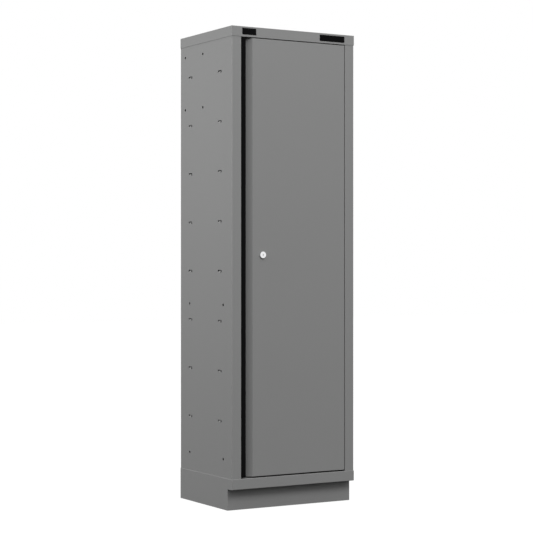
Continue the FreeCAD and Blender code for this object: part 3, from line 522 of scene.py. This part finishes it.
rim = []
for step in range(RIM_STEPS + 1):
    angle = math.pi / 2 * step / RIM_STEPS
    rim.append((case_low.y + RIM * (1 - math.cos(angle)), head - RIM + RIM * math.sin(angle)))
case_profile = [
    (case_low.y + BORE_CHAMFER, bore),
    (case_low.y, bore + BORE_CHAMFER),
    *rim,
    (door_low.y, head),
    (door_low.y, BARREL),
    (case_high.y, BARREL),
    (case_high.y, bore),
]
case_mesh = turned_mesh("lock_case", case_profile, lock_x, lock_z)
lock_case = add_piece("lock_case", case_mesh, chrome)
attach(lock_case, "door")
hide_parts("lock_body")
print(lock_case.name, "has", len(lock_case.data.polygons), "faces")

# %% [markdown]
# ## Wider bolt holes
#
# Each side has eight bolt holes, through which neighbouring cabinets are joined. Here they are 11
# mm wide, so that a bolt has room to be lined up. In a mesh a round hole is a tube of points, so
# every point on its wall moves outwards from the hole's axis and the flat sheet round it follows.
# That needs no boolean. A node's own mesh stays as it is: the work is done on a merged copy, which
# takes the node's place.

# %% Widen the holes
HOLE_RADIUS = 4.5 * MM
WIDE_RADIUS = 5.5 * MM
WALL_MARGIN = 0.1 * MM
# Columns are measured from the cabinet's front and rows from the floor.
UPPER_COLUMNS = (256.5 * MM, 416.5 * MM)
UPPER_ROWS = (1685 * MM, 1911 * MM)
LOWER_COLUMNS = (76.5 * MM, 375.5 * MM)
LOWER_ROWS = (208.5 * MM, 849 * MM)


def widen_holes(name, node):
    """A copy of a side panel whose bolt holes are wider."""
    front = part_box("top_cap")[0].y
    axes = [(front + column, row) for column in UPPER_COLUMNS for row in UPPER_ROWS]
    axes += [(front + column, row) for column in LOWER_COLUMNS for row in LOWER_ROWS]
    shape = bmesh.new()
    shape.from_mesh(nodes[node].data)
    bmesh.ops.remove_doubles(shape, verts=shape.verts, dist=SAME_POINT)
    moved = 0
    for point in shape.verts:
        for y, z in axes:
            distance = math.hypot(point.co.y - y, point.co.z - z)
            if abs(distance - HOLE_RADIUS) < WALL_MARGIN:
                point.co.y = y + (point.co.y - y) * WIDE_RADIUS / distance
                point.co.z = z + (point.co.z - z) * WIDE_RADIUS / distance
                moved += 1
                break
    panel = add_piece(name, close_mesh(name, shape), powder_coat)
    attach(panel, "cabinet")
    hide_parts(node)
    print(name, "has", moved, "points moved")


widen_holes("pierced_side_left", "side_panel_left")
widen_holes("pierced_side_right", "side_panel_right")

# %% [markdown]
# ## Spot welds
#
# The back panel is spot-welded to the side panels, and the door's outer shell to its liner. Under
# the paint each weld is a low round mark. They repeat at an even pitch along a line, which is work
# for Geometry Nodes: the tree turns guide lines into curves, resamples them at the pitch and puts a
# low cone with a flat top on every point. It ends as real geometry with its material, so that
# nothing is left to the modifier.

# %% Open and close a tree


def new_tree(name, inputs):
    """A Geometry Nodes group with named inputs, each a pair of a name and a socket type."""
    group = bpy.data.node_groups.new(name, "GeometryNodeTree")
    for title, kind in inputs:
        group.interface.new_socket(title, in_out="INPUT", socket_type=kind)
    group.interface.new_socket("Geometry", in_out="OUTPUT", socket_type="NodeSocketGeometry")
    graph = Graph(group)
    entry = group.nodes.new("NodeGroupInput")
    given = {title: Signal(graph, entry.outputs[title]) for title, _ in inputs}
    return graph, given


def close_tree(graph, geometry, finish):
    """End a tree in real geometry that has its material."""
    real = graph.node("GeometryNodeRealizeInstances", sockets={0: geometry})
    dressed = graph.node("GeometryNodeSetMaterial", sockets={"Geometry": real, "Material": finish})
    graph.node("NodeGroupOutput", sockets={0: dressed})
    return graph.tree


print("tree ends ready")

# %% Build the weld tree
WELD_SIDES = 16
WELD_TOP_SHARE = 0.3  # the flat top's radius as a share of the weld's diameter


def make_weld_tree():
    graph, given = new_tree(
        "spot_welds",
        (
            ("Guides", "NodeSocketGeometry"),
            ("Pitch", "NodeSocketFloat"),
            ("Diameter", "NodeSocketFloat"),
            ("Height", "NodeSocketFloat"),
            ("Turn", "NodeSocketVector"),
            ("Finish", "NodeSocketMaterial"),
        ),
    )
    lines = graph.node("GeometryNodeMeshToCurve", sockets={"Mesh": given["Guides"]})
    points = graph.node(
        "GeometryNodeResampleCurve", {"mode": "LENGTH"}, {"Curve": lines, "Length": given["Pitch"]}
    )
    mark = graph.node(
        "GeometryNodeMeshCone",
        sockets={
            "Vertices": WELD_SIDES,
            "Radius Top": given["Diameter"] * WELD_TOP_SHARE,
            "Radius Bottom": given["Diameter"] * 0.5,
            "Depth": given["Height"],
        },
    )
    marks = graph.node(
        "GeometryNodeInstanceOnPoints",
        sockets={"Points": points, "Instance": mark, "Rotation": given["Turn"]},
    )
    return close_tree(graph, marks, given["Finish"])


weld_tree = make_weld_tree()
print("weld tree has", len(weld_tree.nodes), "nodes")

# %% Run a tree


def grow(name, guide_mesh, tree, values):
    """Run a tree on a guide mesh once and return its result as a plain mesh."""
    carrier = bpy.data.objects.new(name + "_guide", guide_mesh)
    bpy.context.scene.collection.objects.link(carrier)
    modifier = carrier.modifiers.new(name, "NODES")
    modifier.node_group = tree
    for item in tree.interface.items_tree:
        if item.in_out == "INPUT" and item.name in values:
            modifier[item.identifier] = values[item.name]
    graph_state = bpy.context.evaluated_depsgraph_get()
    mesh = bpy.data.meshes.new_from_object(carrier.evaluated_get(graph_state))
    carrier.modifiers.remove(modifier)
    bpy.data.objects.remove(carrier)
    mesh.name = name
    return mesh


def guide_lines(name, lines):
    """A mesh of loose edges, each from one point to another."""
    points = [point for line in lines for point in line]
    edges = [(2 * index, 2 * index + 1) for index in range(len(lines))]
    mesh = bpy.data.meshes.new(name)
    mesh.from_pydata(points, edges, [])
    return mesh


print("trees can run on guide meshes")

# %% Weld the back panel and the door
WELD_DIAMETER = 6 * MM
WELD_RISE = 0.2 * MM
WELD_DEPTH = 0.2 * MM
BACK_INSET, BACK_WELDS = 10 * MM, 12
DOOR_INSET, DOOR_WELDS = 7.5 * MM, 12
TURN_TO_BACK = (-math.pi / 2, 0, 0)


def weld_rows(name, node, inset, count, body):
    """Two upright rows of weld marks on the rear face of a node, near its left and right edges."""
    low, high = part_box(node)
    pitch = (high.z - low.z) / count
    level = high.y - WELD_DEPTH
    rows = []
    for x in (low.x + inset, high.x - inset):
        rows.append(((x, level, low.z + pitch), (x, level, high.z - pitch)))
    values = {
        "Pitch": pitch,
        "Diameter": WELD_DIAMETER,
        "Height": WELD_RISE + WELD_DEPTH,
        "Turn": TURN_TO_BACK,
        "Finish": powder_coat,
    }
    mesh = grow(name, guide_lines(name, rows), weld_tree, values)
    piece = add_piece(name, mesh, powder_coat)
    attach(piece, body)
    print(piece.name, "has", len(mesh.polygons), "faces")


weld_rows("back_welds", "back_panel", BACK_INSET, BACK_WELDS, "cabinet")
weld_rows("door_welds", "door_skin", DOOR_INSET, DOOR_WELDS, "door")

# %% [markdown]
# ## Threaded studs
#
# The feet are screwed down on studs, whose thread shows once a foot is out. A thread is a shape
# that follows a rule: the surface goes in and out once for each pitch, and the start of that wave
# turns once with the angle. So the tree takes a flat grid, rolls it into a tube by its two
# coordinates and moves each point in by the wave. The first and last rows shrink to a point, which
# closes the ends.

# %% Build the thread tree
STUD_SIDES = 32
ROWS_PER_PITCH = 8
END_ROWS = 3  # the rows past the stud's ends, where the tube closes
KEEP_ABOVE_ZERO = 8  # whole turns, added so that the wave's phase is never negative
GRID_EDGE = 0.0001


def make_thread_tree():
    graph, given = new_tree(
        "threaded_stud",
        (
            ("Guide", "NodeSocketGeometry"),
            ("Length", "NodeSocketFloat"),
            ("Diameter", "NodeSocketFloat"),
            ("Pitch", "NodeSocketFloat"),
            ("Depth", "NodeSocketFloat"),
            ("Finish", "NodeSocketMaterial"),
        ),
    )
    rows = graph.maths("ROUND", given["Length"] / given["Pitch"] * ROWS_PER_PITCH + END_ROWS)
    sockets = {"Size X": 1.0, "Size Y": 1.0, "Vertices X": STUD_SIDES + 1, "Vertices Y": rows}
    grid = graph.node("GeometryNodeMeshGrid", sockets=sockets)
    spot = graph.node("GeometryNodeInputPosition")
    around = graph.node("ShaderNodeSeparateXYZ", sockets={0: spot}, output="X") + 0.5
    along = graph.node("ShaderNodeSeparateXYZ", sockets={0: spot}, output="Y") + 0.5
    margin = given["Length"] / (rows - END_ROWS)
    reach = along * (given["Length"] + margin * 2) - margin
    height = graph.maths("MAXIMUM", graph.maths("MINIMUM", reach, given["Length"]), 0)
    turns = height / given["Pitch"] - around + KEEP_ABOVE_ZERO
    wave = graph.maths("ABSOLUTE", graph.maths("FRACT", turns) * 2 - 1)
    crest = given["Diameter"] * 0.5 - given["Depth"] * wave
    root = given["Diameter"] * 0.5 - given["Depth"]
    to_end = graph.maths("MINIMUM", height, given["Length"] - height)
    radius = graph.maths("MINIMUM", crest, root + to_end)
    past_start = graph.maths("GREATER_THAN", along, GRID_EDGE)
    inside = past_start * graph.maths("LESS_THAN", along, 1 - GRID_EDGE)
    angle = around * (2 * math.pi)
    place = graph.node(
        "ShaderNodeCombineXYZ",
        sockets={
            "X": radius * inside * graph.maths("COSINE", angle),
            "Y": radius * inside * graph.maths("SINE", angle),
            "Z": height,
        },
    )
    rolled = graph.node("GeometryNodeSetPosition", sockets={"Geometry": grid, "Position": place})
    closed = graph.node(
        "GeometryNodeMergeByDistance", sockets={"Geometry": rolled, "Distance": SAME_POINT}
    )
    stood = graph.node(
        "GeometryNodeInstanceOnPoints", sockets={"Points": given["Guide"], "Instance": closed}
    )
    return close_tree(graph, stood, given["Finish"])


thread_tree = make_thread_tree()
print("thread tree has", len(thread_tree.nodes), "nodes")

# %% Cut the four studs
FOOT_COUNT = 4
STUD_PITCH = 1.25 * MM
THREAD_DEPTH = 0.65 * MM


def make_stud(number):
    """A threaded stud in the place of a foot's plain one."""
    node = f"foot_stud_{number}"
    low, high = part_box(node)
    guide = bpy.data.meshes.new(node)
    guide.from_pydata([((low.x + high.x) / 2, (low.y + high.y) / 2, low.z)], [], [])
    values = {
        "Length": high.z - low.z,
        "Diameter": high.x - low.x,
        "Pitch": STUD_PITCH,
        "Depth": THREAD_DEPTH,
        "Finish": zinc_plate,
    }
    mesh = grow(f"threaded_stud_{number}", guide, thread_tree, values)
    shape = bmesh.new()
    shape.from_mesh(mesh)
    bmesh.ops.recalc_face_normals(shape, faces=shape.faces)
    shape.to_mesh(mesh)
    shape.free()
    stud = add_piece(mesh.name, mesh, zinc_plate)
    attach(stud, f"foot_{number}")
    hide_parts(node)
    print(stud.name, "has", len(mesh.polygons), "faces")


for number in range(1, FOOT_COUNT + 1):
    make_stud(number)

# %% [markdown]
# ## Floor and room
#
# The locker stands alone on white. The camera and the mirrors on the locker see a plain white room
# and floor. Its paint is lit by another room: a soft sky that is dark at the horizon and grows
# brighter with height, but ever less so, and a nearly black floor. Without light from the horizon
# the shadow under the base's lip stays deep, where an even white room would fill it. The Light Path
# node tells the two rooms apart.

# %% Tell the two rooms apart


def plainly_seen(graph):
    """1 for what the camera sees, straight, mirrored or through glass, and 0 for light on paint."""
    straight = graph.node("ShaderNodeLightPath", output="Is Camera Ray")
    mirrored = graph.node("ShaderNodeLightPath", output="Is Glossy Ray")
    through = graph.node("ShaderNodeLightPath", output="Is Transmission Ray")
    return graph.maths("MINIMUM", straight + mirrored + through, 1)


print("the camera and mirrors see plain white")

# %% Lay the floor
FLOOR_SIZE = 40.0
FLOOR_DROP = 0.3 * MM
FLOOR_TONE = 0.05
FLOOR_GLOW = 0.97


def make_floor():
    half = FLOOR_SIZE / 2
    mesh = bpy.data.meshes.new("floor")
    corners = [(-half, -half), (half, -half), (half, half), (-half, half)]
    mesh.from_pydata([(x, y, -FLOOR_DROP) for x, y in corners], [], [(0, 1, 2, 3)])
    finish = Finish("floor_paper")
    glow = finish.shade((1, 1, 1), plainly_seen(finish))
    grain = finish.noise(900)
    tone = finish.shade((FLOOR_TONE, FLOOR_TONE, FLOOR_TONE), 1 + 0.02 * grain)
    paper = finish.coat(
        tone, 0.9 + 0.05 * grain, grain, 0.02 * MM,
        {"Emission Color": glow, "Emission Strength": FLOOR_GLOW, "Specular IOR Level": 0.0},
    )
    return add_piece("floor", mesh, paper)


make_floor()
print("floor is", FLOOR_SIZE, "m wide")

# %% Light the room
SKY_LIGHT = 3.05
SKY_EASE = 0.5  # how much of the sky's growth is gone overhead


def light_room():
    world = bpy.data.worlds.new("room")
    world.use_nodes = True
    world.node_tree.nodes.clear()
    room = Graph(world.node_tree)
    plain = plainly_seen(room)
    way = room.node("ShaderNodeTexCoord", output="Generated")
    rise = room.node("ShaderNodeSeparateXYZ", sockets={0: way}, output="Z")
    height = room.maths("MAXIMUM", rise, 0)
    strength = plain + (1 - plain) * height * (1 - SKY_EASE * height) * SKY_LIGHT
    white = room.node("ShaderNodeBackground", sockets={"Color": (1, 1, 1, 1), "Strength": strength})
    room.node("ShaderNodeOutputWorld", sockets={"Surface": white})
    bpy.context.scene.world = world


light_room()
print("room ready")

# %% [markdown]
# ## Lamps
#
# The sky alone would light all sides alike. Two soft lamps hang above head height, one close to the
# left side and one well in front of the door. They brighten the top of each face more than its
# foot, and the front one throws the shadow of the base's lip on the kick plate. A third fills the
# right side and the back. All three are hidden from gloss, so that the cap's top stays grey when it
# is seen at a low angle.

# %% Hang the lamps


def hang_lamp(name, spot, aim, size, power):
    """A square area lamp that looks at a point."""
    light = bpy.data.lights.new(name, "AREA")
    light.size = size
    light.energy = power
    lamp = bpy.data.objects.new(name, light)
    bpy.context.scene.collection.objects.link(lamp)
    lamp.visible_glossy = False
    lamp.location = spot
    lamp.rotation_euler = (Vector(aim) - Vector(spot)).to_track_quat("-Z", "Y").to_euler()
    print(name, "power", power)


hang_lamp("side_lamp", (-2.3, 0.0, 2.15), aim=(0, 0, 1.5), size=1.2, power=27.5)
hang_lamp("front_lamp", (0.0, -4.2, 4.7), aim=(0, 0, 1.1), size=2.0, power=144)
hang_lamp("fill_lamp", (2.6, 2.6, 3.0), aim=(0, 0, 1.1), size=2.0, power=85)

# %% [markdown]
# ## Camera
#
# The camera stands about seven metres away and one metre above the floor, level, to the left of the
# door. A long lens from there keeps the uprights upright and the sides calm.

# %% Set the camera
CAMERA_SPOT = (-3.4884, -5.9674, 1.0133)
CAMERA_YAW = math.radians(30.3055)
CAMERA_PITCH = math.radians(-0.0413)
LENS = 107.871
SENSOR_WIDTH = 36  # millimetres, as the lens is

camera_data = bpy.data.cameras.new("camera")
camera_data.lens = LENS
camera_data.sensor_width = SENSOR_WIDTH
camera = bpy.data.objects.new("camera", camera_data)
bpy.context.scene.collection.objects.link(camera)
camera.location = CAMERA_SPOT
camera.rotation_euler = (math.pi / 2 + CAMERA_PITCH, 0, -CAMERA_YAW)

scene = bpy.context.scene
scene.camera = camera
scene.view_settings.view_transform = "Standard"
print("camera at", CAMERA_SPOT, "lens", LENS)

# %% Finish
print("scene ready")
